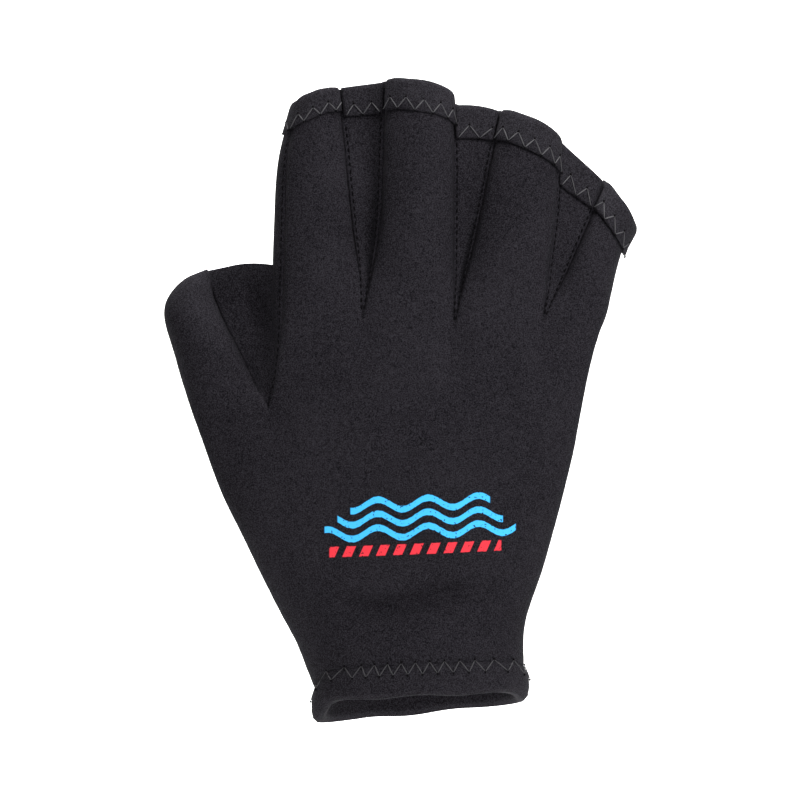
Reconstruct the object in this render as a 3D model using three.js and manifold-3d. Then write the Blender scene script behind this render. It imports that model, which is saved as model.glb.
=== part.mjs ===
// A webbed swim glove for the right hand, in 2 mm foam rubber faced with knitted nylon.
// It has a closed thumb, four open half fingers, a web between each pair of digits and a turned cuff.
// It stands as it is worn, fingers up: +X runs from thumb to little finger, the back of the hand
// faces -Y and the palm +Y. The origin is the centre of the cuff's mouth. Units are millimetres.
import * as THREE from "three";
import Module from "manifold-3d";

const wasm = await Module();
wasm.setup();

// Driving sizes
const PALM_WIDTH = 100; // across the knuckles; every x below is a share of it
const GLOVE_LENGTH = 200; // cuff to finger mouths; every z below is a share of it
const PALM_DEPTH = 36; // back of the hand to palm; every y and depth below is a share of it
const WALL = 2; // foam rubber sheet
const WEB_THICKNESS = 4.8; // two sheets, back to back
const HEM_WIDTH = 8; // turned edge of a finger mouth
const HEM_LEAF = 1.6; // the turned layer, pressed thin by its stitches
const HEM_TAPER = 0.4; // and thinner still where it meets a web, as a share of that
const HEM_ROLL = 2.2; // height of the fold above the wall's edge
const CUFF_HEM_WIDTH = 9.2;
const CUFF_ROLL = 1.3; // how far the cuff's fold swells past the wall
const CUFF_FOLD = 4.6; // thickness of the folded cuff
const SEAM_GAP = 0.3; // between pieces that are sewn edge to edge
const WEB_STEP = 1.4 * SEAM_GAP; // a web's edge stands this far off the seam's own line
const HEM_INDENT = 0.05; // a hem's turned layer stops this share of its width before a seam
const FOLD_SAG = 2.8; // dip of the fold between thumb and index finger
const FINGER_CROWN = 5.4; // rise of a mouth's middle above its two corners
const CUFF_LEAN = 0.1; // the cuff's mouth rises towards the little finger
const CUFF_NOD = 0.12; // and towards the back of the hand

// Mesh fineness
const STRIP_COLUMNS = 5;
const SIDE_COLUMNS = 3;
const WEB_COLUMNS = 5;
const ROWS = 16;
const THUMB_WEB_ROWS = 9;

// A row v runs from the cuff (0) past the forks between digits (FORK) to the mouths (1).
const FORK = 0.5;
const TUBE = 0.7; // from here up each digit is a tube of its own
const VALLEY = 0.53; // from here up the webs sink between the fingers
const THUMB_WEB_TOP = 0.745; // where the thumb's web meets the index finger

// Lines that run from cuff to mouths, seen on the back of the hand. Below the fork two
// digits share one line, and above it each has its own seam.
const LINES = {
  thumbOuter: [
    { v: 0, x: -0.326, z: 0.0475 },
    { v: 0.1, x: -0.385, z: 0.12 },
    { v: 0.2, x: -0.465, z: 0.19 },
    { v: 0.3, x: -0.545, z: 0.265 },
    { v: 0.4, x: -0.623, z: 0.342 },
    { v: 0.5, x: -0.678, z: 0.417 },
    { v: 0.6, x: -0.724, z: 0.485 },
    { v: 0.7, x: -0.77, z: 0.556 },
    { v: 0.8, x: -0.806, z: 0.615 },
    { v: 0.87, x: -0.797, z: 0.648 },
    { v: 0.94, x: -0.748, z: 0.677 },
    { v: 1, x: -0.672, z: 0.694 },
  ],
  thumbIndex: [
    { v: 0, x: -0.2, z: 0.0475 },
    { v: 0.1, x: -0.235, z: 0.12 },
    { v: 0.2, x: -0.28, z: 0.195 },
    { v: 0.3, x: -0.335, z: 0.28 },
    { v: 0.4, x: -0.4, z: 0.375 },
    { v: 0.5, x: -0.47, z: 0.4725 },
  ],
  indexMiddle: [
    { v: 0, x: -0.08, z: 0.0475 },
    { v: 0.1, x: -0.09, z: 0.14 },
    { v: 0.2, x: -0.105, z: 0.235 },
    { v: 0.3, x: -0.13, z: 0.35 },
    { v: 0.4, x: -0.155, z: 0.48 },
    { v: 0.5, x: -0.18, z: 0.61 },
  ],
  middleRing: [
    { v: 0, x: 0.05, z: 0.0475 },
    { v: 0.1, x: 0.05, z: 0.145 },
    { v: 0.2, x: 0.055, z: 0.25 },
    { v: 0.3, x: 0.07, z: 0.365 },
    { v: 0.4, x: 0.085, z: 0.485 },
    { v: 0.5, x: 0.104, z: 0.595 },
  ],
  ringLittle: [
    { v: 0, x: 0.19, z: 0.0475 },
    { v: 0.1, x: 0.185, z: 0.145 },
    { v: 0.2, x: 0.205, z: 0.25 },
    { v: 0.3, x: 0.25, z: 0.365 },
    { v: 0.4, x: 0.31, z: 0.49 },
    { v: 0.5, x: 0.382, z: 0.61 },
  ],
  littleOuter: [
    { v: 0, x: 0.328, z: 0.0475 },
    { v: 0.1, x: 0.322, z: 0.125 },
    { v: 0.2, x: 0.372, z: 0.22 },
    { v: 0.3, x: 0.433, z: 0.335 },
    { v: 0.4, x: 0.488, z: 0.455 },
    { v: 0.5, x: 0.548, z: 0.575 },
    { v: 0.6, x: 0.583, z: 0.622 },
    { v: 0.7, x: 0.6, z: 0.66 },
    { v: 0.8, x: 0.612, z: 0.692 },
    { v: 0.9, x: 0.626, z: 0.72 },
    { v: 1, x: 0.662, z: 0.75 },
  ],
  thumbInner: [
    { v: 0.5, x: -0.47, z: 0.4725 },
    { v: 0.6, x: -0.508, z: 0.508 },
    { v: 0.7, x: -0.555, z: 0.559 },
    { v: 0.8, x: -0.602, z: 0.606 },
    { v: 0.9, x: -0.638, z: 0.648 },
    { v: 1, x: -0.664, z: 0.69 },
  ],
  indexLeft: [
    { v: 0.5, x: -0.47, z: 0.4725 },
    { v: 0.6, x: -0.436, z: 0.575 },
    { v: 0.7, x: -0.424, z: 0.665 },
    { v: 0.8, x: -0.418, z: 0.76 },
    { v: 0.9, x: -0.41, z: 0.86 },
    { v: 1, x: -0.382, z: 0.937 },
  ],
  indexRight: [
    { v: 0.5, x: -0.18, z: 0.61 },
    { v: 0.6, x: -0.187, z: 0.685 },
    { v: 0.7, x: -0.2, z: 0.75 },
    { v: 0.8, x: -0.215, z: 0.825 },
    { v: 0.9, x: -0.23, z: 0.9 },
    { v: 1, x: -0.245, z: 0.96 },
  ],
  middleLeft: [
    { v: 0.5, x: -0.18, z: 0.61 },
    { v: 0.6, x: -0.152, z: 0.6875 },
    { v: 0.7, x: -0.132, z: 0.755 },
    { v: 0.8, x: -0.123, z: 0.8275 },
    { v: 0.9, x: -0.118, z: 0.905 },
    { v: 1, x: -0.114, z: 0.969 },
  ],
  middleRight: [
    { v: 0.5, x: 0.104, z: 0.595 },
    { v: 0.6, x: 0.109, z: 0.667 },
    { v: 0.7, x: 0.111, z: 0.74 },
    { v: 0.8, x: 0.11, z: 0.81 },
    { v: 0.9, x: 0.108, z: 0.88 },
    { v: 1, x: 0.104, z: 0.937 },
  ],
  ringLeft: [
    { v: 0.5, x: 0.104, z: 0.595 },
    { v: 0.6, x: 0.133, z: 0.667 },
    { v: 0.7, x: 0.166, z: 0.74 },
    { v: 0.8, x: 0.196, z: 0.81 },
    { v: 0.9, x: 0.22, z: 0.875 },
    { v: 1, x: 0.243, z: 0.927 },
  ],
  ringRight: [
    { v: 0.5, x: 0.382, z: 0.61 },
    { v: 0.6, x: 0.398, z: 0.6575 },
    { v: 0.7, x: 0.41, z: 0.71 },
    { v: 0.8, x: 0.423, z: 0.765 },
    { v: 0.9, x: 0.43, z: 0.82 },
    { v: 1, x: 0.436, z: 0.868 },
  ],
  littleLeft: [
    { v: 0.5, x: 0.382, z: 0.61 },
    { v: 0.6, x: 0.42, z: 0.65 },
    { v: 0.7, x: 0.463, z: 0.6975 },
    { v: 0.8, x: 0.505, z: 0.745 },
    { v: 0.9, x: 0.543, z: 0.7875 },
    { v: 1, x: 0.572, z: 0.822 },
  ],
};

// The hand as one oval section: its middle, and its depth to the back and to the palm
const HAND_DEPTHS = [
  { v: 0, y: 0, back: 0.6, palm: 0.6 },
  { v: 0.1, y: 0, back: 0.555, palm: 0.57 },
  { v: 0.2, y: 0, back: 0.51, palm: 0.54 },
  { v: 0.3, y: -0.01, back: 0.475, palm: 0.52 },
  { v: 0.4, y: -0.025, back: 0.43, palm: 0.5 },
  { v: 0.5, y: -0.03, back: 0.37, palm: 0.43 },
  { v: 0.7, y: -0.03, back: 0.31, palm: 0.34 },
  { v: 1, y: 0, back: 0.28, palm: 0.28 },
];
const HAND_SQUARENESS = 2.3; // exponent of the oval: 2 is an ellipse

// Each digit as a tube: the lines at its two seams, the seams' angles round it (90 faces
// the viewer, 180 the thumb's side), the rise of its mouth, and its depths along v
const DIGITS = {
  thumb: {
    below: ["thumbOuter", "thumbIndex"],
    above: ["thumbOuter", "thumbInner"],
    angles: [180, 32],
    crown: 0,
    depths: [
      { v: 0.5, y: 0.02, back: 0.34, palm: 0.4 },
      { v: 0.7, y: 0.1, back: 0.34, palm: 0.34 },
      { v: 0.8, y: 0.16, back: 0.32, palm: 0.32 },
      { v: 0.87, y: 0.2, back: 0.28, palm: 0.28 },
      { v: 0.94, y: 0.235, back: 0.2, palm: 0.2 },
      { v: 1, y: 0.26, back: 0.05, palm: 0.05 },
    ],
  },
  index: {
    below: ["thumbIndex", "indexMiddle"],
    above: ["indexLeft", "indexRight"],
    angles: [138, 32],
    crown: 1,
    depths: [
      { v: 0.5, y: -0.03, back: 0.34, palm: 0.38 },
      { v: 0.75, y: 0, back: 0.3, palm: 0.3 },
      { v: 0.9, y: 0.05, back: 0.28, palm: 0.28 },
      { v: 1, y: 0.13, back: 0.25, palm: 0.25 },
    ],
  },
  middle: {
    below: ["indexMiddle", "middleRing"],
    above: ["middleLeft", "middleRight"],
    angles: [150, 14],
    crown: 1,
    depths: [
      { v: 0.5, y: -0.08, back: 0.34, palm: 0.4 },
      { v: 0.75, y: -0.08, back: 0.32, palm: 0.32 },
      { v: 0.9, y: -0.03, back: 0.3, palm: 0.3 },
      { v: 1, y: 0.05, back: 0.27, palm: 0.27 },
    ],
  },
  ring: {
    below: ["middleRing", "ringLittle"],
    above: ["ringLeft", "ringRight"],
    angles: [150, 14],
    crown: 1,
    depths: [
      { v: 0.5, y: -0.05, back: 0.34, palm: 0.38 },
      { v: 0.75, y: -0.03, back: 0.3, palm: 0.3 },
      { v: 0.9, y: 0.04, back: 0.28, palm: 0.28 },
      { v: 1, y: 0.13, back: 0.25, palm: 0.25 },
    ],
  },
  little: {
    below: ["ringLittle", "littleOuter"],
    above: ["littleLeft", "littleOuter"],
    angles: [148, 0],
    crown: 0.35,
    depths: [
      { v: 0.5, y: 0.03, back: 0.3, palm: 0.33 },
      { v: 0.75, y: 0.11, back: 0.265, palm: 0.265 },
      { v: 0.9, y: 0.2, back: 0.25, palm: 0.25 },
      { v: 1, y: 0.29, back: 0.23, palm: 0.23 },
    ],
  },
};
const FINGERS = ["index", "middle", "ring", "little"];
const NAMES = Object.keys(DIGITS);

// Shallow dents in the back of the hand below each fork: place, reach and depth
const DENTS = [
  { x: -0.18, z: 0.59, across: 0.05, along: 0.06, depth: 0.035 },
  { x: 0.104, z: 0.57, across: 0.05, along: 0.07, depth: 0.04 },
  { x: 0.38, z: 0.585, across: 0.05, along: 0.06, depth: 0.035 },
];

// The value of one column of a table at v, on a smooth curve through its rows
function column(rows, name, v) {
  const last = rows.length - 1;
  let i = 0;
  while (i < last - 1 && v > rows[i + 1].v) i++;
  const slope = (k) => {
    const a = rows[Math.max(k - 1, 0)];
    const b = rows[Math.min(k + 1, last)];
    return (b[name] - a[name]) / (b.v - a.v);
  };
  const step = rows[i + 1].v - rows[i].v;
  const t = THREE.MathUtils.clamp((v - rows[i].v) / step, 0, 1);
  const beyond = v - THREE.MathUtils.clamp(v, rows[0].v, rows[last].v);
  const cubic =
    rows[i][name] * (1 + 2 * t) * (1 - t) ** 2 +
    rows[i + 1][name] * t * t * (3 - 2 * t) +
    step * slope(i) * t * (1 - t) ** 2 -
    step * slope(i + 1) * t * t * (1 - t);
  return cubic + beyond * slope(v < rows[0].v ? 0 : last);
}

// A point of a line in the plane of the back of the hand, as (x, z)
function linePoint(name, v) {
  const rows = LINES[name];
  return new THREE.Vector2(column(rows, "x", v) * PALM_WIDTH, column(rows, "z", v) * GLOVE_LENGTH);
}

function digitEdges(digit, v) {
  const [left, right] = v <= FORK ? DIGITS[digit].below : DIGITS[digit].above;
  return [linePoint(left, v), linePoint(right, v)];
}

const smooth = THREE.MathUtils.smoothstep;
const radians = THREE.MathUtils.degToRad;

// How deep the hand's oval is at x, for a row v. side is -1 for the back and 1 for the palm
function handDepth(x, v, side, inset) {
  const left = linePoint("thumbOuter", v).x;
  const right = linePoint("littleOuter", v).x;
  const across = THREE.MathUtils.clamp((2 * x - left - right) / (right - left), -1, 1);
  const reach = column(HAND_DEPTHS, side < 0 ? "back" : "palm", v) * PALM_DEPTH - inset;
  const oval = Math.sqrt(1 - Math.abs(across) ** HAND_SQUARENESS);
  return column(HAND_DEPTHS, "y", v) * PALM_DEPTH + side * reach * oval;
}

function dent(x, z) {
  return DENTS.reduce((sum, d) => {
    const across = (x - d.x * PALM_WIDTH) / (d.across * PALM_WIDTH);
    const along = (z - d.z * GLOVE_LENGTH) / (d.along * GLOVE_LENGTH);
    return sum + d.depth * PALM_DEPTH * Math.exp(-(across ** 2) - along ** 2);
  }, 0);
}

// The tube of a digit at row v: its centre, half width and direction across
function tubeAt(digit, v) {
  const [left, right] = digitEdges(digit, v);
  const [from, to] = DIGITS[digit].angles.map((a) => Math.cos(radians(a)));
  const across = right.clone().sub(left).normalize();
  const half = right.distanceTo(left) / (to - from);
  const centre = left.clone().addScaledVector(across, -half * from);
  const middle = column(DIGITS[digit].depths, "y", v) * PALM_DEPTH;
  return { left, right, across, half, centre, middle, cosines: [from, to] };
}

// The cuff's mouth leans, and the rows above it straighten out by degrees
function leanCuff(point, v) {
  const share = 1 - smooth(v, 0, 0.35);
  point.z += share * (CUFF_LEAN * point.x - CUFF_NOD * point.y);
  return point;
}

// A point of the glove's skin on one digit's strip. s runs from its left seam to its right
// one, side is -1 on the back and 1 on the palm, and inset goes inwards from the outer face
function skin(digit, s, v, side, inset = 0) {
  const tube = tubeAt(digit, v);
  const outerLeft = digit === "thumb";
  const outerRight = digit === "little";
  const own = v > FORK ? smooth(v, FORK, TUBE) : 0;

  // As a part of the hand's oval
  let share = s;
  if (outerLeft) share = 1 - Math.cos((s * Math.PI) / 2);
  if (outerRight) share = Math.sin((s * Math.PI) / 2);
  const flat = tube.left.clone().lerp(tube.right, share);
  const bodyLeft = linePoint("thumbOuter", v).x;
  const bodyRight = linePoint("littleOuter", v).x;
  const handY = handDepth(flat.x, v, side, inset) + (side < 0 ? dent(flat.x, flat.y) : 0);
  const middleX = (bodyLeft + bodyRight) / 2;
  const shrink = 1 - inset / ((bodyRight - bodyLeft) / 2);
  const hand = new THREE.Vector2(middleX + (flat.x - middleX) * shrink, flat.y);

  // As a part of the digit's own tube
  const [from, to] = DIGITS[digit].angles.map(radians);
  const angle = THREE.MathUtils.lerp(from, to, s);
  const half = Math.max(tube.half - inset, 0.1);
  const finger = tube.centre.clone().addScaledVector(tube.across, half * Math.cos(angle));
  const reach = column(DIGITS[digit].depths, side < 0 ? "back" : "palm", v) * PALM_DEPTH;
  const fingerY = tube.middle + side * Math.max(reach - inset, 0.1) * Math.sin(angle);
  const rise = DIGITS[digit].crown * FINGER_CROWN * smooth(v, FORK, 1);
  const arch = 1 - Math.cos(angle) ** 2;
  finger.addScaledVector(new THREE.Vector2(-tube.across.y, tube.across.x), rise * arch);

  const place = hand.lerp(finger, own);
  const y = THREE.MathUtils.lerp(handY, fingerY, own) + (side * SEAM_GAP) / 2;
  return leanCuff(new THREE.Vector3(place.x, y, place.y), v);
}

// A seam's point, moved along the skin by out: beyond its own strip if that is positive
function seamPoint(digit, end, v, side, inset, out) {
  const point = skin(digit, end, v, side, inset);
  const before = skin(digit, end === 0 ? 0.04 : 0.96, v, side, inset);
  return point.clone().addScaledVector(point.clone().sub(before).normalize(), out);
}

// A panel's point: above the forks its seams stay clear of the webs
function panelPoint(digit, s, v, side, inset) {
  const rim = (digit === "thumb" && s === 0) || (digit === "little" && s === 1);
  if (v <= FORK || rim || (s !== 0 && s !== 1)) return skin(digit, s, v, side, inset);
  return seamPoint(digit, s, v, side, inset, -SEAM_GAP / 2);
}

// The side of a finger between its back seam and its palm seam. q runs from -1 at the back
// seam to 1 at the palm seam, and end is 0 for the left side and 1 for the right
function sideSkin(digit, end, q, v, inset = 0) {
  const back = skin(digit, end, v, -1, inset);
  const palm = skin(digit, end, v, 1, inset);
  const { across, half } = tubeAt(digit, v);
  const seam = radians(DIGITS[digit].angles[end]);
  const turn = end === 0 ? Math.PI - seam : seam;
  const bulge = (half - inset) * (Math.cos(q * turn) - Math.cos(turn)) * smooth(v, FORK, TUBE);
  const t = turn > 0.01 ? (1 + Math.sin(q * turn) / Math.sin(turn)) / 2 : (1 + q) / 2;
  const point = back.lerp(palm, t);
  const outwards = end === 0 ? -bulge : bulge;
  return point.add(new THREE.Vector3(across.x * outwards, 0, across.y * outwards));
}

// Collects pairs of points, one on each face of a wall, and closes them into one solid
class Wall {
  constructor() {
    this.pairs = [];
    this.found = new Map();
    this.triangles = [];
  }

  point(outer, inner) {
    const key = outer.toArray().map((n) => Math.round(n * 1e3)).join();
    if (!this.found.has(key)) {
      this.found.set(key, this.pairs.length);
      this.pairs.push([outer, inner]);
    }
    return this.found.get(key);
  }

  // rows is a grid of [outer, inner] pairs
  sheet(rows) {
    const ids = rows.map((row) => row.map(([outer, inner]) => this.point(outer, inner)));
    for (let i = 0; i + 1 < ids.length; i++) {
      for (let j = 0; j + 1 < ids[i].length; j++) {
        this.triangle(ids[i][j], ids[i][j + 1], ids[i + 1][j + 1]);
        this.triangle(ids[i][j], ids[i + 1][j + 1], ids[i + 1][j]);
      }
    }
    return this;
  }

  triangle(a, b, c) {
    if (a !== b && b !== c && c !== a) this.triangles.push([a, b, c]);
  }

  solid() {
    const count = this.pairs.length;
    const corners = [];
    const edges = new Set(
      this.triangles.flatMap(([a, b, c]) => [`${a},${b}`, `${b},${c}`, `${c},${a}`]),
    );
    for (const [a, b, c] of this.triangles) corners.push(a, b, c, c + count, b + count, a + count);
    for (const edge of edges) {
      const [a, b] = edge.split(",").map(Number);
      if (edges.has(`${b},${a}`)) continue;
      corners.push(b, a, a + count, b, a + count, b + count);
    }
    const points = [0, 1].flatMap((face) => this.pairs.map((pair) => pair[face]));
    return solidFrom(points, corners);
  }
}

function solidFrom(points, corners) {
  const vertProperties = new Float32Array(points.flatMap((p) => [p.x, p.y, p.z]));
  const build = (order) =>
    new wasm.Manifold(new wasm.Mesh({ numProp: 3, vertProperties, triVerts: new Uint32Array(order) }));
  const made = build(corners);
  return made.volume() > 0 ? made : build([...corners].reverse());
}

// A solid through closed loops of points, with a flat fan at each end
function loft(loops) {
  const count = loops[0].length;
  const points = loops.flat();
  const corners = [];
  for (let i = 0; i + 1 < loops.length; i++) {
    for (let j = 0; j < count; j++) {
      const k = (j + 1) % count;
      const [a, b, c, d] = [i * count + j, i * count + k, (i + 1) * count + k, (i + 1) * count + j];
      corners.push(a, b, c, a, c, d);
    }
  }
  for (const end of [0, loops.length - 1]) {
    const hub = points.length;
    points.push(loops[end].reduce((sum, p) => sum.add(p), new THREE.Vector3()).divideScalar(count));
    for (let j = 0; j < count; j++) {
      const [a, b] = [end * count + j, end * count + ((j + 1) % count)];
      if (end === 0) corners.push(hub, b, a);
      else corners.push(hub, a, b);
    }
  }
  return solidFrom(points, corners);
}

// A closed ring: one closed outline for each place round a loop
function ring(outlines) {
  const around = outlines.length;
  const count = outlines[0].length;
  const corners = [];
  for (let i = 0; i < around; i++) {
    const next = (i + 1) % around;
    for (let j = 0; j < count; j++) {
      const k = (j + 1) % count;
      const [a, b, c, d] = [i * count + j, i * count + k, next * count + k, next * count + j];
      corners.push(a, b, c, a, c, d);
    }
  }
  return solidFrom(outlines.flat(), corners);
}

const steps = (count, from = 0, to = 1) =>
  Array.from({ length: count + 1 }, (_, i) => THREE.MathUtils.lerp(from, to, i / count));

// The row values of a panel, with one exactly at the fork and one close above it
const lowRows = Math.round(ROWS * FORK);
const FIRST_ROW = 0.02; // from the fork to the foot of each web
const PANEL_ROWS = [
  ...steps(lowRows, 0, FORK),
  FORK + FIRST_ROW,
  ...steps(ROWS - lowRows, FORK, 1).slice(1),
];

// The back panel or the palm panel: five strips that share their edges below the forks
function panel(side) {
  const wall = new Wall();
  for (const digit of NAMES) {
    const rows = PANEL_ROWS.map((v) =>
      steps(STRIP_COLUMNS).map((s) => [0, WALL].map((inset) => panelPoint(digit, s, v, side, inset))),
    );
    wall.sheet(rows);
  }
  return wall.solid();
}

// The inner face of a finger's wall between its two seams, from the back to the palm
function innerFlank(digit, end, v) {
  return steps(SIDE_COLUMNS, -1, 1).map((q) => {
    if (Math.abs(q) === 1) return seamPoint(digit, end, v, q, WALL, WEB_STEP);
    return sideSkin(digit, end, q, v, WALL);
  });
}

// The point of a web on one side: a valley that hangs between two seams
function webSkin(left, right, s, v, side) {
  const start = seamPoint(left, 1, v, side, 0, WEB_STEP);
  const end = seamPoint(right, 0, v, side, 0, WEB_STEP);
  const middle = (skin(left, 1, v, -side).y + skin(right, 0, v, -side).y + start.y + end.y) / 4;
  const floor = middle + (side * WEB_THICKNESS) / 2;
  const hang = Math.sin(Math.PI * s) ** 0.7 * smooth(v, VALLEY, TUBE + 0.02);
  const point = start.lerp(end, s);
  point.y = THREE.MathUtils.lerp(point.y, floor, hang);
  return point;
}

// The same, on the flat faces between the web's columns
function webFacet(left, right, s, v, side) {
  const column = Math.min(Math.floor(s * WEB_COLUMNS), WEB_COLUMNS - 1);
  const [a, b] = [column, column + 1].map((n) => webSkin(left, right, n / WEB_COLUMNS, v, side));
  return a.lerp(b, s * WEB_COLUMNS - column);
}

const SNAP = 0.02; // corners are moved to this grid, which closes up the slivers that cuts leave

function snapped(solid) {
  const { numProp, vertProperties, triVerts } = solid.getMesh();
  const found = new Map();
  const points = [];
  const ids = [];
  for (let i = 0; i < vertProperties.length; i += numProp) {
    const place = [0, 1, 2].map((k) => Math.round(vertProperties[i + k] / SNAP));
    const key = place.join();
    if (!found.has(key)) {
      found.set(key, points.length);
      points.push(new THREE.Vector3(...place).multiplyScalar(SNAP));
    }
    ids.push(found.get(key));
  }
  const faces = new Map();
  for (let i = 0; i < triVerts.length; i += 3) {
    const [a, b, c] = [0, 1, 2].map((k) => ids[triVerts[i + k]]);
    if (a === b || b === c || c === a) continue;
    const [key, back] = [[a, b, c], [c, b, a]].map((face) => {
      const first = face.indexOf(Math.min(...face));
      return [0, 1, 2].map((k) => face[(first + k) % 3]).join();
    });
    if (!faces.delete(back)) faces.set(key, [a, b, c]);
  }
  return solidFrom(points, flipThin([...faces.values()], points).flat());
}

// A triangle whose corners lie almost on one line is turned with its neighbour over its long edge
function flipThin(faces, points) {
  const height = (a, b, c) => {
    const along = points[b].clone().sub(points[a]);
    return along.clone().cross(points[c].clone().sub(points[a])).length() / along.length();
  };
  const turned = (face, k) => [0, 1, 2].map((n) => face[(k + n) % 3]);
  for (let pass = 0; pass < 6; pass++) {
    const owner = new Map(
      faces.flatMap((face, i) => [0, 1, 2].map((k) => [turned(face, k).slice(0, 2).join(), i])),
    );
    const touched = new Set();
    faces.forEach((face, i) => {
      const [a, b, c] = [0, 1, 2]
        .map((k) => turned(face, k))
        .reduce((thin, t) => (height(...t) < height(...thin) ? t : thin));
      const other = owner.get(`${b},${a}`);
      if (height(a, b, c) > SNAP / 4 || touched.has(i) || touched.has(other)) return;
      const d = faces[other].find((corner) => corner !== a && corner !== b);
      if (owner.has(`${c},${d}`) || owner.has(`${d},${c}`)) return;
      faces[i] = [a, d, c];
      faces[other] = [d, b, c];
      touched.add(i).add(other);
    });
    if (!touched.size) break;
  }
  return faces;
}

// The part of a solid that holds most of it, without the slivers that cuts leave
function mainBody(solid) {
  const bodies = snapped(solid).decompose();
  return bodies.reduce((a, b) => (b.volume() > a.volume() ? b : a));
}

// A web between two fingers: its section is bounded by its own two valleys and by the rooms
// of the fingers beside it
function fingerWeb(left, right) {
  const across = steps(WEB_COLUMNS);
  const sections = PANEL_ROWS.filter((v) => v > FORK).map((v) => [
    ...across.map((s) => webSkin(left, right, s, v, -1)),
    ...innerFlank(right, 0, v),
    ...[...across].reverse().map((s) => webSkin(left, right, s, v, 1)),
    ...innerFlank(left, 1, v).reverse(),
  ]);
  return loft(sections);
}

// The thumb's web: a wedge folded along its top edge, and the strip that it runs into up the
// side of the index finger
function thumbWeb() {
  const sections = steps(THUMB_WEB_ROWS, 0.06, 1).map((t) => {
    const thumbRow = THREE.MathUtils.lerp(FORK, 0.985, t);
    const indexRow = THREE.MathUtils.lerp(FORK, THUMB_WEB_TOP, t);
    const onIndex = (q) => sideSkin("index", 0, q, indexRow, WALL / 2);
    const onThumb = (side) => seamPoint("thumb", 1, thumbRow, side, 0, WEB_STEP);
    const middles = [(onThumb(-1).y + onThumb(1).y) / 2, (onIndex(-1).y + onIndex(1).y) / 2];
    const thick = (WEB_THICKNESS / 2) * Math.sqrt(Math.max(1 - t ** 6, 0.05));
    const valley = (side) =>
      steps(WEB_COLUMNS + 1).map((s) => {
        const point = onThumb(side).lerp(onIndex(0.8 * side), s);
        const middle = THREE.MathUtils.lerp(...middles, s);
        const hang = Math.sin(Math.PI * s) ** 0.6 * smooth(t, 0.1, 0.65);
        point.y = THREE.MathUtils.lerp(point.y, middle + side * thick, hang);
        point.z -= FOLD_SAG * Math.sin(Math.PI * s ** 1.6) * t ** 4;
        return point;
      });
    return [
      ...valley(-1),
      onIndex(0),
      ...valley(1).reverse(),
      ...innerFlank("thumb", 1, thumbRow).reverse(),
    ];
  });
  const strip = new Wall().sheet(
    PANEL_ROWS.filter((v) => v > FORK).map((v) =>
      steps(SIDE_COLUMNS + 1, -1, 1).map((q) => {
        if (Math.abs(q) === 1) {
          return [0, WALL].map((inset) => seamPoint("index", 0, v, q, inset, WEB_STEP));
        }
        return [0, WALL].map((inset) => sideSkin("index", 0, q, v, inset));
      }),
    ),
  );
  return mainBody(loft(sections).add(strip.solid()));
}

// The length in millimetres that one step of v would cover at a digit's mouth
function mouthScale(digit) {
  const line = DIGITS[digit].above[0];
  return linePoint(line, 1).distanceTo(linePoint(line, 0.9)) / 0.1;
}

// The rows of a hem: from its raw edge, over the panel's own rows, to the top
function hemRows(digit, top) {
  const low = 1 - HEM_WIDTH / mouthScale(digit);
  return [low, ...PANEL_ROWS.filter((v) => v > low + 0.012), 1 + top / mouthScale(digit)];
}

// A finger's hem: a fold over the wall's edge, all the way round the mouth, with its turned
// layer on the outside wherever no web is in the way. grow makes it larger on every side
function fingerHem(digit, grow = 0) {
  const open = { index: [0], little: [1] }[digit] ?? [];
  const scale = mouthScale(digit);
  const strip = (side) =>
    steps(STRIP_COLUMNS).map((s) => {
      const webEnd = Math.min(open.includes(0) ? 1 : s, open.includes(1) ? 1 : 1 - s);
      const thick = THREE.MathUtils.lerp(HEM_TAPER, 1, smooth(webEnd, 0, 0.2));
      return { at: (v, inset) => skin(digit, s, v, side, inset), s, side, thick, webEnd };
    });
  const flank = (end) =>
    steps(SIDE_COLUMNS, -1, 1)
      .slice(1, -1)
      .map((q) => {
        const thick = open.includes(end) ? 1 : null;
        return { at: (v, inset) => sideSkin(digit, end, q, v, inset), thick };
      });
  const [back, palm, left, right] = [strip(-1), strip(1).reverse(), flank(0).reverse(), flank(1)];
  const out = ({ thick }) => (thick === null ? 0 : -SEAM_GAP - HEM_LEAF * thick) - grow;
  const inner = WALL + grow;
  const roll = HEM_ROLL + grow;
  const cap = [...back, ...right, ...palm, ...left].map((place) => {
    const far = out(place);
    const fold = [
      [far, 1.5 * SEAM_GAP - grow],
      [far, 0.55 * roll],
      [far + 0.35 * (inner - far), roll],
      [inner - 0.3 * (inner - far), roll],
      [inner, 0.55 * roll],
      [inner, 1.5 * SEAM_GAP - grow],
    ];
    return fold.map(([inset, h]) => place.at(1 + h / scale, inset));
  });
  const leaf = (list) => {
    const ends = list.map((place) => {
      if (place.webEnd !== 0) return place;
      const s = THREE.MathUtils.clamp(place.s, HEM_INDENT, 1 - HEM_INDENT);
      return { ...place, at: (v, inset) => skin(digit, s, v, place.side, inset) };
    });
    const rows = hemRows(digit, HEM_ROLL / 2).map((v) =>
      ends.map((place) => [place.at(v, out(place)), place.at(v, grow - SEAM_GAP)]),
    );
    return new Wall().sheet(rows).solid();
  };
  const parts = [ring(cap)];
  if (open.includes(0)) parts.push(leaf([...palm, ...left, ...back]));
  else if (open.includes(1)) parts.push(leaf([...back, ...right, ...palm]));
  else parts.push(leaf(back), leaf(palm));
  return mainBody(wasm.Manifold.union(parts));
}

const hemCutters = Object.fromEntries(FINGERS.map((digit) => [digit, fingerHem(digit, SEAM_GAP)]));

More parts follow.
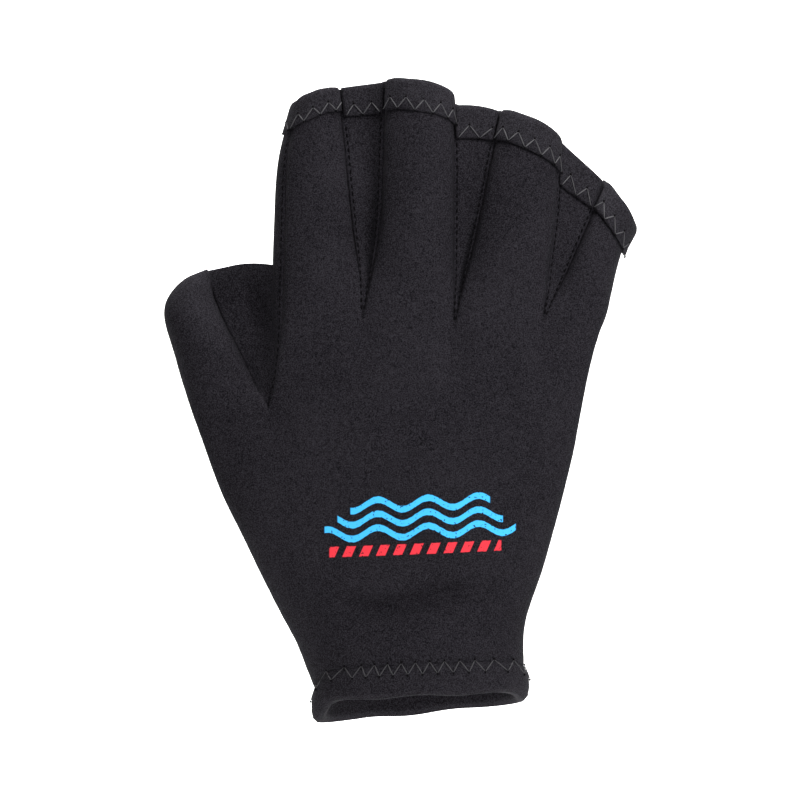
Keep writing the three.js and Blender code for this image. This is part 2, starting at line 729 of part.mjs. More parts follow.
// A web's hem: the same fold over the web's upper edge, from the back round to the palm
function webHem(left, right) {
  const across = [HEM_INDENT, ...steps(WEB_COLUMNS).slice(1, -1), 1 - HEM_INDENT];
  const leaf = hemRows(right, 0).slice(0, -1);
  const path = [
    ...leaf.map((v) => ({ side: -1, v })),
    ...[-1, 1].map((side) => ({ side, v: 1, crest: true })),
    ...[...leaf].reverse().map((v) => ({ side: 1, v })),
  ];
  const thick = SEAM_GAP + HEM_LEAF;
  const rows = path.map(({ side, v, crest }) =>
    across.map((s) => {
      const point = webFacet(left, right, s, v, side);
      if (crest) {
        return [[0.5 * thick, HEM_ROLL], [0, 2 * SEAM_GAP]].map(([y, z]) =>
          lifted(point, side * y, z),
        );
      }
      return [thick, 1.6 * SEAM_GAP].map((y) => lifted(point, side * y, 0));
    }),
  );
  return mainBody(new Wall().sheet(rows).solid().subtract(hemCutters[left]).subtract(hemCutters[right]));
}

const lifted = (point, y, z) => new THREE.Vector3(point.x, point.y + y, point.z + z);

// The cuff's hem: the wall turned in on itself, swelling a little past the wall above it
function cuffHem() {
  const loop = [-1, 1].flatMap((side) => {
    const digits = side < 0 ? NAMES : [...NAMES].reverse();
    return digits.flatMap((digit) => {
      const places = steps(STRIP_COLUMNS).map((s) => ({ digit, s, side }));
      return (side < 0 ? places : places.reverse()).slice(0, -1);
    });
  });
  const profile = [
    [0, 0],
    [-CUFF_ROLL, -0.25 * CUFF_HEM_WIDTH],
    [-CUFF_ROLL, -0.7 * CUFF_HEM_WIDTH],
    [0.4 * CUFF_FOLD - CUFF_ROLL, -CUFF_HEM_WIDTH],
    [CUFF_FOLD - CUFF_ROLL, -0.75 * CUFF_HEM_WIDTH],
    [CUFF_FOLD - CUFF_ROLL, 0],
  ];
  const outlines = loop.map(({ digit, s, side }) =>
    profile.map(([inset, h]) => {
      const point = skin(digit, s, 0, side, inset);
      point.z += h - SEAM_GAP;
      return point;
    }),
  );
  return ring(outlines);
}

const CLOTH = { color: 0x2a282c, roughness: 0.85, metalness: 0 };
const EDGE = { color: 0x2d2a2f, roughness: 0.88, metalness: 0 };

const glove = new THREE.Group();

function addPiece(name, solid, finish) {
  const { numProp, vertProperties, triVerts } = solid.getMesh();
  const position = new Float32Array((vertProperties.length / numProp) * 3);
  for (let i = 0; i * numProp < vertProperties.length; i++) {
    position.set(vertProperties.subarray(i * numProp, i * numProp + 3), i * 3);
  }
  const geometry = new THREE.BufferGeometry()
    .setAttribute("position", new THREE.BufferAttribute(position, 3))
    .setIndex(new THREE.BufferAttribute(triVerts, 1));
  geometry.computeVertexNormals();
  const mesh = new THREE.Mesh(geometry, new THREE.MeshStandardMaterial(finish));
  mesh.name = name;
  glove.add(mesh);
}

addPiece("back_panel", panel(-1), CLOTH);
addPiece("palm_panel", panel(1), CLOTH);
addPiece("thumb_web", thumbWeb(), CLOTH);
for (let i = 0; i + 1 < FINGERS.length; i++) {
  const [left, right] = [FINGERS[i], FINGERS[i + 1]];
  addPiece(`${left}_${right}_web`, fingerWeb(left, right), CLOTH);
  addPiece(`${left}_${right}_web_hem`, webHem(left, right), EDGE);
}
for (const finger of FINGERS) addPiece(`${finger}_hem`, fingerHem(finger), EDGE);
addPiece("cuff_hem", cuffHem(), EDGE);

export default glove;
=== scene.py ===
# %% [markdown]
# # A webbed swim glove
# The glove is sewn from thin foam rubber faced with black knitted nylon. It has a closed
# thumb, four open half fingers and a web between each pair of digits. Its form is a single
# function of a place on the hand, and every piece of cloth, hem and stitch is laid on it.

import math
from functools import lru_cache

import bmesh
import bpy
from mathutils import Matrix, Vector, noise


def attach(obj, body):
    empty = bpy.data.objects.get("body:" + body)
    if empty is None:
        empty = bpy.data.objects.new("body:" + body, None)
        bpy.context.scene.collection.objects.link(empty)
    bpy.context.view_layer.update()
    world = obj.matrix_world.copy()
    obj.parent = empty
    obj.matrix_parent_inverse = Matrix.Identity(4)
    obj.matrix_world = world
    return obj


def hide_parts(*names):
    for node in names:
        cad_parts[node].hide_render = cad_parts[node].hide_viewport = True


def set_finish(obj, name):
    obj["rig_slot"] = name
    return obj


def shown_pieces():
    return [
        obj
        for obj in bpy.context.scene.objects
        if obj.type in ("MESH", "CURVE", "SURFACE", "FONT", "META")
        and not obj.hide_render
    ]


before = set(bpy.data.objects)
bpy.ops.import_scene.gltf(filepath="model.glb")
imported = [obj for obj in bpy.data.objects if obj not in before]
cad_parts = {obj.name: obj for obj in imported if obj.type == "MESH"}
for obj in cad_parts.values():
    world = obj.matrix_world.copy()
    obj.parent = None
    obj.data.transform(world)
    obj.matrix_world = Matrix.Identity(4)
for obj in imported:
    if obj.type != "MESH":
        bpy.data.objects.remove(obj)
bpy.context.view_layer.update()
print("CAD nodes:", len(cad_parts))

# %% [markdown]
# ## The sizes and the lines of the glove
# A glove is drafted from lines that run from the cuff to the finger mouths. Between two
# digits they are one line up to the fork, and above it each digit has its own seam. Each row
# below gives how far along the line it is, then x as a share of the palm's width and z as a
# share of the glove's length. Lengths are in mm, and fork, valley and tube are places along a
# line: where digits part, where a web's valley starts, and where a digit has its own tube.

# %% Sizes and lines
MM = 0.001
PALM_WIDTH = 100
GLOVE_LENGTH = 200
PALM_DEPTH = 36
WALL = 2
WEB_THICKNESS = 4.8
HEM_WIDTH = 8
HEM_LEAF = 1.0
HEM_ROLL = 2.2
CUFF_HEM_WIDTH = 9.2
CUFF_ROLL = 1.3
CUFF_FOLD = 4.6
SEAM_GAP = 0.3
FINGER_CROWN = 2.7
THUMB_VALLEY = 2.4
THUMB_VALLEY_REACH = 0.35
THUMB_VALLEY_FULL, THUMB_VALLEY_FADES = 0.62, 0.85
WEB_STEP_DOWN = 3.4
MOUTH_PULL = 0.4
MOUTH_PULL_STARTS, MOUTH_PULL_ENDS = 0.84, 0.97
CUFF_LEAN = 0.1
CUFF_NOD = 0.12
LEAN_FADES = 0.35
FOLD_RISE = 1.8
LIP_RISE = 3.8
LIP_SLOPE = 0.05
LIP_DEPTH = 14
FORK = 0.5
VALLEY = 0.53
TUBE = 0.7
THUMB_WEB_TOP = 0.732
HAND_SQUARENESS = 2.3

LINES = {
    "thumb_outer": [
        (0, -0.326, 0.0475), (0.1, -0.385, 0.12), (0.2, -0.465, 0.19), (0.3, -0.545, 0.265),
        (0.4, -0.623, 0.342), (0.5, -0.678, 0.417), (0.6, -0.724, 0.485), (0.7, -0.77, 0.556),
        (0.8, -0.806, 0.615), (0.87, -0.797, 0.648), (0.94, -0.748, 0.677), (1, -0.672, 0.694),
    ],
    "thumb_index": [
        (0, -0.2, 0.0475), (0.1, -0.235, 0.12), (0.2, -0.28, 0.195),
        (0.3, -0.335, 0.28), (0.4, -0.4, 0.375), (0.5, -0.47, 0.4725),
    ],
    "index_middle": [
        (0, -0.08, 0.0475), (0.1, -0.09, 0.14), (0.2, -0.105, 0.235),
        (0.3, -0.13, 0.35), (0.4, -0.155, 0.48), (0.5, -0.18, 0.61),
    ],
    "middle_ring": [
        (0, 0.05, 0.0475), (0.1, 0.05, 0.145), (0.2, 0.055, 0.25),
        (0.3, 0.07, 0.365), (0.4, 0.085, 0.485), (0.5, 0.104, 0.595),
    ],
    "ring_little": [
        (0, 0.19, 0.0475), (0.1, 0.185, 0.145), (0.2, 0.205, 0.25),
        (0.3, 0.25, 0.365), (0.4, 0.31, 0.49), (0.5, 0.382, 0.61),
    ],
    "little_outer": [
        (0, 0.328, 0.0475), (0.1, 0.332, 0.125), (0.2, 0.391, 0.22), (0.3, 0.449, 0.335),
        (0.4, 0.5, 0.455), (0.5, 0.552, 0.575), (0.6, 0.586, 0.622), (0.7, 0.605, 0.66),
        (0.8, 0.62, 0.692), (0.9, 0.638, 0.72), (1, 0.674, 0.75),
    ],
    "thumb_inner": [
        (0.5, -0.47, 0.4725), (0.6, -0.508, 0.508), (0.7, -0.555, 0.559),
        (0.8, -0.602, 0.606), (0.9, -0.638, 0.648), (1, -0.664, 0.69),
    ],
    "index_left": [
        (0.5, -0.47, 0.4725), (0.6, -0.436, 0.575), (0.7, -0.424, 0.665),
        (0.8, -0.418, 0.76), (0.9, -0.41, 0.86), (1, -0.382, 0.937),
    ],
    "index_right": [
        (0.5, -0.18, 0.61), (0.6, -0.187, 0.685), (0.7, -0.2, 0.75),
        (0.8, -0.215, 0.825), (0.9, -0.23, 0.9), (1, -0.245, 0.96),
    ],
    "middle_left": [
        (0.5, -0.18, 0.61), (0.6, -0.152, 0.6875), (0.7, -0.132, 0.755),
        (0.8, -0.123, 0.8275), (0.9, -0.118, 0.905), (1, -0.114, 0.969),
    ],
    "middle_right": [
        (0.5, 0.104, 0.595), (0.6, 0.109, 0.667), (0.7, 0.111, 0.74),
        (0.8, 0.11, 0.812), (0.9, 0.109, 0.888), (1, 0.107, 0.953),
    ],
    "ring_left": [
        (0.5, 0.104, 0.595), (0.6, 0.133, 0.667), (0.7, 0.166, 0.74),
        (0.8, 0.196, 0.81), (0.9, 0.22, 0.875), (1, 0.241, 0.925),
    ],
    "ring_right": [
        (0.5, 0.382, 0.61), (0.6, 0.398, 0.6575), (0.7, 0.41, 0.71),
        (0.8, 0.423, 0.768), (0.9, 0.432, 0.828), (1, 0.441, 0.882),
    ],
    "little_left": [
        (0.5, 0.382, 0.61), (0.6, 0.42, 0.65), (0.7, 0.463, 0.6975),
        (0.8, 0.505, 0.745), (0.9, 0.543, 0.7875), (1, 0.572, 0.822),
    ],
}
print("lines drafted:", len(LINES))

# %% [markdown]
# ## How deep the hand and its digits are
# In section, the hand is one flattened oval up to the forks, and each digit is a rounder tube.
# Rows hold the place along the digit, then the middle's y and the depths to the back and to the
# palm, as shares of the palm's depth. Angles say where a tube's two seams lie, and a crown of 1
# raises the middle of its mouth by the full FINGER_CROWN.

# %% Depths
HAND_DEPTHS = [
    (0, 0, 0.6, 0.6), (0.1, 0, 0.555, 0.57), (0.2, 0, 0.51, 0.54), (0.3, -0.01, 0.475, 0.52),
    (0.4, -0.025, 0.43, 0.5), (0.5, -0.03, 0.37, 0.43), (0.7, -0.03, 0.31, 0.34),
    (1, 0, 0.28, 0.28),
]
DIGITS = {
    "thumb": {
        "below": ("thumb_outer", "thumb_index"), "above": ("thumb_outer", "thumb_inner"),
        "angles": (180, 32), "crown": 0,
        "depths": [
            (0.5, 0.02, 0.34, 0.4), (0.7, 0.1, 0.34, 0.34), (0.8, 0.16, 0.32, 0.32),
            (0.87, 0.2, 0.28, 0.28), (0.94, 0.235, 0.2, 0.2), (1, 0.26, 0.05, 0.05),
        ],
    },
    "index": {
        "below": ("thumb_index", "index_middle"), "above": ("index_left", "index_right"),
        "angles": (138, 32), "crown": 1,
        "depths": [
            (0.5, -0.03, 0.34, 0.38), (0.75, 0, 0.3, 0.3),
            (0.9, 0.05, 0.28, 0.28), (1, 0.13, 0.25, 0.25),
        ],
    },
    "middle": {
        "below": ("index_middle", "middle_ring"), "above": ("middle_left", "middle_right"),
        "angles": (150, 14), "crown": 1,
        "depths": [
            (0.5, -0.08, 0.34, 0.4), (0.75, -0.08, 0.32, 0.32),
            (0.9, -0.03, 0.3, 0.3), (1, 0.05, 0.27, 0.27),
        ],
    },
    "ring": {
        "below": ("middle_ring", "ring_little"), "above": ("ring_left", "ring_right"),
        "angles": (150, 14), "crown": 1,
        "depths": [
            (0.5, -0.05, 0.34, 0.38), (0.75, -0.03, 0.3, 0.3),
            (0.9, 0.04, 0.28, 0.28), (1, 0.13, 0.25, 0.25),
        ],
    },
    "little": {
        "below": ("ring_little", "little_outer"), "above": ("little_left", "little_outer"),
        "angles": (148, 0), "crown": 0.35,
        "depths": [
            (0.5, 0.03, 0.3, 0.33), (0.75, 0.11, 0.265, 0.265),
            (0.9, 0.2, 0.25, 0.25), (1, 0.29, 0.23, 0.23),
        ],
    },
}
NAMES = list(DIGITS)
FINGERS = NAMES[1:]
# The back dips just below each fork. Columns: x, z, reach across, reach along, depth, as shares.
DENTS = [
    (-0.47, 0.48, 0.06, 0.05, 0.045),
    (-0.18, 0.59, 0.05, 0.06, 0.05),
    (0.104, 0.57, 0.05, 0.07, 0.055),
    (0.38, 0.585, 0.05, 0.06, 0.05),
]
print("digits:", ", ".join(NAMES))

# %% [markdown]
# ## One function for the glove's skin
# Every piece needs to know where the outside of the glove is. Modelling by hand with a
# sculpted mesh would work, but the solids were made from nearly the same lines, so the same
# curve through the rows is used here and the dressed glove fits them.

# %% Curves through the rows
def smooth(x, low, high):
    t = min(max((x - low) / (high - low), 0), 1)
    return t * t * (3 - 2 * t)


def lerp(a, b, t):
    return a + (b - a) * t


def column(rows, k, v):
    last = len(rows) - 1
    i = 0
    while i < last - 1 and v > rows[i + 1][0]:
        i += 1

    def slope(j):
        a, b = rows[max(j - 1, 0)], rows[min(j + 1, last)]
        return (b[k] - a[k]) / (b[0] - a[0])

    step = rows[i + 1][0] - rows[i][0]
    t = min(max((v - rows[i][0]) / step, 0), 1)
    beyond = v - min(max(v, rows[0][0]), rows[last][0])
    cubic = (
        rows[i][k] * (1 + 2 * t) * (1 - t) ** 2
        + rows[i + 1][k] * t * t * (3 - 2 * t)
        + step * slope(i) * t * (1 - t) ** 2
        - step * slope(i + 1) * t * t * (1 - t)
    )
    return cubic + beyond * slope(0 if v < rows[0][0] else last)


@lru_cache(maxsize=None)
def line_point(name, v):
    x, z = column(LINES[name], 1, v), column(LINES[name], 2, v)
    return Vector((x * PALM_WIDTH, z * GLOVE_LENGTH))


@lru_cache(maxsize=None)
def tube_at(digit, v):
    d = DIGITS[digit]
    left, right = [line_point(n, v) for n in (d["below"] if v <= FORK else d["above"])]
    start, end = [math.cos(math.radians(a)) for a in d["angles"]]
    across = (right - left).normalized()
    half = (right - left).length / (end - start)
    depths = [column(d["depths"], k, v) * PALM_DEPTH for k in (1, 2, 3)]
    return left, right, across, half, left - across * half * start, depths


@lru_cache(maxsize=None)
def hand_at(v):
    left, right = line_point("thumb_outer", v).x, line_point("little_outer", v).x
    return left, right, [column(HAND_DEPTHS, k, v) * PALM_DEPTH for k in (1, 2, 3)]


print("fork beside the middle finger:", [round(n, 1) for n in line_point("index_middle", FORK)])

# %% The skin
def bell(*offsets):
    """1 where every offset is 0, falling off smoothly past an offset of about 1."""
    return math.exp(-sum(offset**2 for offset in offsets))


def dent(x, z):
    across, along = x / PALM_WIDTH, z / GLOVE_LENGTH
    return PALM_DEPTH * sum(
        depth * bell((across - a) / w, (along - b) / h) for a, b, w, h, depth in DENTS
    )


def pulled_in(digit, v):
    """How far a finger's skin is drawn in near its mouth."""
    return 0 if digit == "thumb" else MOUTH_PULL * smooth(v, MOUTH_PULL_STARTS, MOUTH_PULL_ENDS)


def skin(digit, s, v, side, inset=0.0):
    """A point in mm: s across a strip, v along it, side -1 at the back and 1 at the palm."""
    left, right, across, half, centre, (middle, back, palm) = tube_at(digit, v)
    own = smooth(v, FORK, TUBE) if v > FORK else 0
    inset += pulled_in(digit, v)
    share = s
    if digit == "thumb":
        share = 1 - math.cos(s * math.pi / 2)
    if digit == "little":
        share = math.sin(s * math.pi / 2)
    flat = left.lerp(right, share)
    low, high, (hand_middle, hand_back, hand_palm) = hand_at(v)
    place = min(max((2 * flat.x - low - high) / (high - low), -1), 1)
    oval = math.sqrt(1 - abs(place) ** HAND_SQUARENESS)
    hand_y = hand_middle + side * ((hand_back if side < 0 else hand_palm) - inset) * oval
    if side < 0:
        hand_y += dent(flat.x, flat.y)
    shrink = 1 - inset / ((high - low) / 2)
    hand = Vector(((low + high) / 2 + (flat.x - (low + high) / 2) * shrink, flat.y))
    a, b = DIGITS[digit]["angles"]
    angle = math.radians(lerp(a, b, s))
    finger = centre + across * (max(half - inset, 0.1) * math.cos(angle))
    finger_y = middle + side * max((back if side < 0 else palm) - inset, 0.1) * math.sin(angle)
    rise = DIGITS[digit]["crown"] * FINGER_CROWN * smooth(v, FORK, 1) * (1 - math.cos(angle) ** 4)
    finger = finger + Vector((-across.y, across.x)) * rise
    spot = hand.lerp(finger, own)
    y = lerp(hand_y, finger_y, own) + side * SEAM_GAP / 2
    if digit == "thumb" and side < 0:
        along = smooth(v, FORK, THUMB_VALLEY_FULL) * (1 - smooth(v, THUMB_VALLEY_FADES, 1))
        y += THUMB_VALLEY * along * bell((1 - s) / THUMB_VALLEY_REACH)
    lean = 1 - smooth(v, 0, LEAN_FADES)
    lip = smooth(-y, 0, LIP_DEPTH) * (LIP_RISE - LIP_SLOPE * spot.x)
    return Vector((spot.x, y, spot.y + lean * (CUFF_LEAN * spot.x - CUFF_NOD * y + lip)))


def flank(digit, end, q, v, inset=0.0):
    """A point on a finger's side, between its back seam (q = -1) and its palm seam (q = 1)."""
    back, palm = skin(digit, end, v, -1, inset), skin(digit, end, v, 1, inset)
    inset += pulled_in(digit, v)
    _, _, across, half, _, _ = tube_at(digit, v)
    seam = math.radians(DIGITS[digit]["angles"][end])
    turn = math.pi - seam if end == 0 else seam
    bulge = (half - inset) * (math.cos(q * turn) - math.cos(turn)) * smooth(v, FORK, TUBE)
    t = (1 + math.sin(q * turn) / math.sin(turn)) / 2 if turn > 0.01 else (1 + q) / 2
    out = -bulge if end == 0 else bulge
    return back.lerp(palm, t) + Vector((across.x * out, 0, across.y * out))


def web(left, right, s, v, side):
    """A point in the valley between two fingers."""
    start, end = skin(left, 1, v, side), skin(right, 0, v, side)
    other = skin(left, 1, v, -side).y + skin(right, 0, v, -side).y
    floor = (other + start.y + end.y) / 4 + side * WEB_THICKNESS / 2
    hang = math.sin(math.pi * min(max(s, 0), 1)) ** 0.7 * smooth(v, VALLEY, TUBE + 0.02)
    point = start.lerp(end, s)
    point.y = lerp(point.y, floor, hang)
    if left == "middle":
        point.z -= WEB_STEP_DOWN * (1 - min(max(s, 0), 1)) ** 2 * smooth(v, 0.82, 1)
    return point


def mouth_scale(digit):
    line = DIGITS[digit]["above"][0]
    return (line_point(line, 1) - line_point(line, 0.9)).length / 0.1


print("top of the middle finger:", round(skin("middle", 0.5, 1, -1).z, 1), "mm")

# %% [markdown]
# ## Cloth: worn surface, seams and small folds
# Foam rubber doesn't crease sharply, but it pulls in at each seam and puckers between the
# stitches. It has soft lumps where the hand presses, and one soft fold above the cuff. These
# are small moves of the surface in and out, added to the skin before the cloth is laid on it.

# %% Small relief of the cloth
SEAM_DIP = 0.6
SEAM_REACH = 1.7
SEAM_RUN_IN = 0.04
OUTER_SEAM = 0.45
PUCKER = 0.1
PUCKER_PERIOD = 5.2
LUMP = 0.45
CUFF_CREASE = 4.2
CREASE_HEIGHT, CREASE_REACH = 36, 3.6
CREASE_LEFT, CREASE_RIGHT = (-32, -16), (6, 28)
SLOW_LUMPS, QUICK_LUMPS = 0.035, 0.09


def seam_dip(digit, s, v, point):
    left, right, *_ = tube_at(digit, v)
    width = (right - left).length
    depth = 0
    for end in (0, 1):
        outside = (digit == "thumb" and end == 0) or (digit == "little" and end == 1)
        if not outside and v <= FORK:
            continue
        near = abs(s - end) * width * (1.15 if v > TUBE else 1)
        pucker = 1 + PUCKER * math.sin(point.z * 2 * math.pi / PUCKER_PERIOD + 9 * end)
        strength = OUTER_SEAM if outside else smooth(v, FORK, FORK + SEAM_RUN_IN)
        if digit == "thumb":
            strength *= 1 - smooth(v, 0.9, 0.98)
        depth += SEAM_DIP * strength * pucker * bell(near / SEAM_REACH)
    return depth


def lump(point):
    slow = noise.noise(point * SLOW_LUMPS + Vector((3, 1, 7)))
    quick = noise.noise(point * QUICK_LUMPS + Vector((9, 4, 2)))
    crease_line = CREASE_HEIGHT + 0.06 * point.x + 1.5 * math.sin(point.x / 9)
    crease = bell((point.z - crease_line) / CREASE_REACH)
    crease *= smooth(point.x, *CREASE_LEFT) * (1 - smooth(point.x, *CREASE_RIGHT))
    return LUMP * slow + 0.35 * LUMP * quick - CUFF_CREASE * crease * (1 if point.y < 0 else 0.4)


def cloth(digit, s, v, side):
    point = skin(digit, s, v, side)
    return skin(digit, s, v, side, seam_dip(digit, s, v, point) - lump(point))


print("dip at a seam:", SEAM_DIP, "mm")

# %% Helpers that lay grids on the glove
def lay_grid(bm, columns, rows, place):
    """A grid whose corners run from 0 to 1 each way, moved to where place says, in mm."""
    made = bmesh.ops.create_grid(bm, x_segments=columns, y_segments=rows, size=0.5)
    for vert in made["verts"]:
        vert.co = place(round(vert.co.x + 0.5, 6), round(vert.co.y + 0.5, 6)) * MM
    return made["verts"]


def finish_piece(name, bm, slot, nodes, outward=True):
    """Turns a bmesh into a piece of the glove."""
    if outward:
        bmesh.ops.recalc_face_normals(bm, faces=bm.faces)
    for face in bm.faces:
        face.smooth = True
    mesh = bpy.data.meshes.new(name)
    bm.to_mesh(mesh)
    bm.free()
    obj = bpy.data.objects.new(name, mesh)
    bpy.context.scene.collection.objects.link(obj)
    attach(obj, "root")
    if slot:
        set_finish(obj, slot)
    if nodes:
        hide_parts(*nodes)
    return obj


# %% [markdown]
# ## The back and the palm
# On the real glove each is one cut of foam rubber that covers the hand and all five digits.
# Here five grids, one a digit, are laid side by side and merged along the lines they share
# below the forks. Solidify then gives the sheet its 2 mm, inwards.

# %% Back and palm panels
STRIP_COLUMNS = 26
PANEL_ROWS = 180


def make_panel(name, side, node):
    bm = bmesh.new()
    for digit in NAMES:
        lay_grid(bm, STRIP_COLUMNS, PANEL_ROWS, lambda s, v: cloth(digit, s, v, side))
    bmesh.ops.remove_doubles(bm, verts=bm.verts, dist=0.02 * MM)
    if side > 0:
        bmesh.ops.reverse_faces(bm, faces=bm.faces)
    cut = sum(face.calc_area() for face in bm.faces)
    obj = finish_piece(name, bm, "foam_rubber", [node], outward=False)
    wall = obj.modifiers.new("wall", "SOLIDIFY")
    wall.thickness = WALL * MM
    wall.offset = -1
    return obj


back_cloth = make_panel("back_cloth", -1, "back_panel")
palm_cloth = make_panel("palm_cloth", 1, "palm_panel")
print("panel faces:", len(back_cloth.data.polygons), len(palm_cloth.data.polygons))

# %% [markdown]
# ## The webs
# A web is a strip of the same sheet, folded over between two fingers, so that it has a valley
# on the back and one on the palm. It is made as a grid that is wrapped round the web's
# section, with the two inner sides following the rooms of the fingers beside it.

# %% Webs between the fingers
WEB_AROUND = 76
WEB_ROWS = 90
SIDE_TURN = 0.16
WEB_SEAM_DIP = 0.85 * SEAM_DIP


def web_dip(s, v, width, z):
    near = min(s, 1 - s) * width
    pucker = 1 + PUCKER * math.sin(z * 2 * math.pi / PUCKER_PERIOD + 2)
    run_in = smooth(v, FORK, FORK + SEAM_RUN_IN)
    return WEB_SEAM_DIP * pucker * bell(near / SEAM_REACH) * run_in


def web_loop(left, right, u, w):
    u %= 1
    v = lerp(FORK + 0.004, 1, w)
    width = (skin(right, 0, v, -1) - skin(left, 1, v, -1)).length
    half = 0.5 - SIDE_TURN
    if u <= half or (0.5 <= u <= 0.5 + half):
        side = -1 if u <= half else 1
        s = u / half if side < 0 else 1 - (u - 0.5) / half
        point = web(left, right, s, v, side)
        point.y -= side * web_dip(s, v, width, point.z)
        return point
    if u < 0.5:
        return flank(right, 0, -1 + 2 * (u - half) / SIDE_TURN, v, WALL)
    return flank(left, 1, 1 - 2 * (u - 0.5 - half) / SIDE_TURN, v, WALL)


def cap_ends(bm):
    bmesh.ops.remove_doubles(bm, verts=bm.verts, dist=0.01 * MM)
    bmesh.ops.holes_fill(bm, edges=[e for e in bm.edges if e.is_boundary])


for left, right in zip(FINGERS, FINGERS[1:]):
    bm = bmesh.new()
    lay_grid(bm, WEB_AROUND, WEB_ROWS, lambda u, w: web_loop(left, right, u, w))
    cap_ends(bm)
    piece = finish_piece(f"{left}_{right}_web_cloth", bm, "foam_rubber", [f"{left}_{right}_web"])
    print(piece.name, len(piece.data.polygons), "faces")

# %% [markdown]
# ## The thumb's web
# The web between thumb and index finger is a wedge that is folded along its top edge, and
# runs on up the side of the index finger as a narrow strip. The wedge hollows in its middle,
# because nothing holds it out there.

# %% Thumb web
DIMPLE = 2.2
THUMB_SEAM_DIP = 0.8 * SEAM_DIP
STRIP_AROUND, STRIP_ROWS = 40, 120
STRIP_HALF_WIDTH = 8
WEB_EDGE = 0.8


def thumb_loop(u, w):
    u %= 1
    t = lerp(0.02, 1, w)
    thumb_row, index_row = lerp(FORK, 0.997, t), lerp(FORK, THUMB_WEB_TOP, t)
    half = 0.5 - SIDE_TURN

    def on_index(q):
        return flank("index", 0, q, index_row, WALL / 2)

    if half < u < 0.5:
        return on_index(WEB_EDGE * (2 * (u - half) / SIDE_TURN - 1))
    if u > 0.5 + half:
        return flank("thumb", 1, 1 - 2 * (u - 0.5 - half) / SIDE_TURN, thumb_row, WALL)
    side = -1 if u <= half else 1
    s = u / half if side < 0 else 1 - (u - 0.5) / half
    ends = [[skin("thumb", 1, thumb_row, k), on_index(WEB_EDGE * k)] for k in (-1, 1)]
    start, end = ends[0 if side < 0 else 1]
    middle = lerp((ends[0][0].y + ends[1][0].y) / 2, (ends[0][1].y + ends[1][1].y) / 2, s)
    thick = WEB_THICKNESS / 2 * math.sqrt(max(1 - t**6, 0.05))
    hang = math.sin(math.pi * s) ** 0.6 * smooth(t, 0.1, 0.65)
    point = start.lerp(end, s)
    point.y = lerp(point.y, middle + side * thick, hang)
    point.z += FOLD_RISE * math.sin(math.pi * s) * t**4
    hollow = bell((s - 0.55) / 0.2, (t - 0.72) / 0.16)
    point.y -= side * min(DIMPLE * hollow, 0.8 * thick)
    point.y -= side * THUMB_SEAM_DIP * bell(s * (end - start).length / SEAM_REACH)
    return point


def index_strip(u, w):
    """The closed section of the strip: out along its face, then back along its inside."""
    u %= 1
    v = lerp(FORK + 0.01, 1, w)
    if u <= 0.5:
        q = -1 + 4 * u
        dip = THUMB_SEAM_DIP * bell((1 - abs(q)) * STRIP_HALF_WIDTH / SEAM_REACH)
        return flank("index", 0, q, v, dip)
    return flank("index", 0, 3 - 4 * u, v, WALL)


bm = bmesh.new()
lay_grid(bm, WEB_AROUND, WEB_ROWS, thumb_loop)
lay_grid(bm, STRIP_AROUND, STRIP_ROWS, index_strip)
cap_ends(bm)
thumb_web_cloth = finish_piece("thumb_web_cloth", bm, "foam_rubber", ["thumb_web"])
print(thumb_web_cloth.name, len(thumb_web_cloth.data.polygons), "faces")

# %% [markdown]
# ## Hems
# At each mouth the sheet is turned outwards once, so its raw edge shows as a thin step about
# 8 mm down, and the fold at the top is soft and round. The section of the fold is carried all
# the way round a finger. Beside a web there is no room for the turned layer, so it fades.

# %% Finger hems
MOUTH_AROUND = 132
HEM_SECTION = 48
HEM_MERGE = 0.004
SIDE_FULLNESS = 0.45
FULL_WITHIN = 0.07
HEM_WAVE = 0.1


def hem_profile(u, far, full):
    """A place on the hem's closed section: its inset, and its height over the wall's edge."""
    stops = [
        (-0.12, -HEM_WIDTH * full),
        (far + 0.35, -HEM_WIDTH * full),
        (far, -(HEM_WIDTH - 0.5) * full),
        (far - 0.12, -HEM_WIDTH * 0.55 * full),
        (far, -0.6 * full),
        (far + 0.15, HEM_ROLL * 0.45),
        (lerp(far, WALL, 0.2), HEM_ROLL * 0.85),
        (lerp(far, WALL, 0.5), HEM_ROLL),
        (lerp(far, WALL, 0.8), HEM_ROLL * 0.85),
        (WALL - 0.1, HEM_ROLL * 0.45),
        (WALL + 0.05, -0.2),
        (WALL, -2.2),
        (WALL - 0.3, -2.6),
        (WALL - 0.6, -0.1),
        (0.1, 0.12),
        (-0.12, 0.0),
    ]
    stops.append(stops[0])
    t = u * (len(stops) - 1)
    i = min(int(t), len(stops) - 2)
    return [lerp(stops[i][k], stops[i + 1][k], t - i) for k in (0, 1)]


def round_mouth(digit, u):
    """A way round a finger's mouth: back, right side, palm, left side."""
    share = (0.36, 0.14, 0.36, 0.14)
    k = 0
    while k < 3 and u > share[k]:
        u -= share[k]
        k += 1
    t = min(u / share[k], 1)
    if k == 0:
        return ("skin", t, -1)
    if k == 1:
        return ("flank", 1, -1 + 2 * t)
    if k == 2:
        return ("skin", 1 - t, 1)
    return ("flank", 0, 1 - 2 * t)


def at_mouth(digit, spot, v, inset):
    kind, a, b = spot
    return skin(digit, a, v, b, inset) if kind == "skin" else flank(digit, a, b, v, inset)


def fullness(digit, spot):
    """1 where the turned layer shows and 0 beside a web."""
    open_ends = {"index": [0], "little": [1]}.get(digit, [])
    kind, a, b = spot
    if kind == "flank":
        return lerp(SIDE_FULLNESS, 1, b * b) if a in open_ends else 0.0
    low = 1 if 0 in open_ends else smooth(a, 0.0, FULL_WITHIN)
    high = 1 if 1 in open_ends else smooth(1 - a, 0.0, FULL_WITHIN)
    return low * high


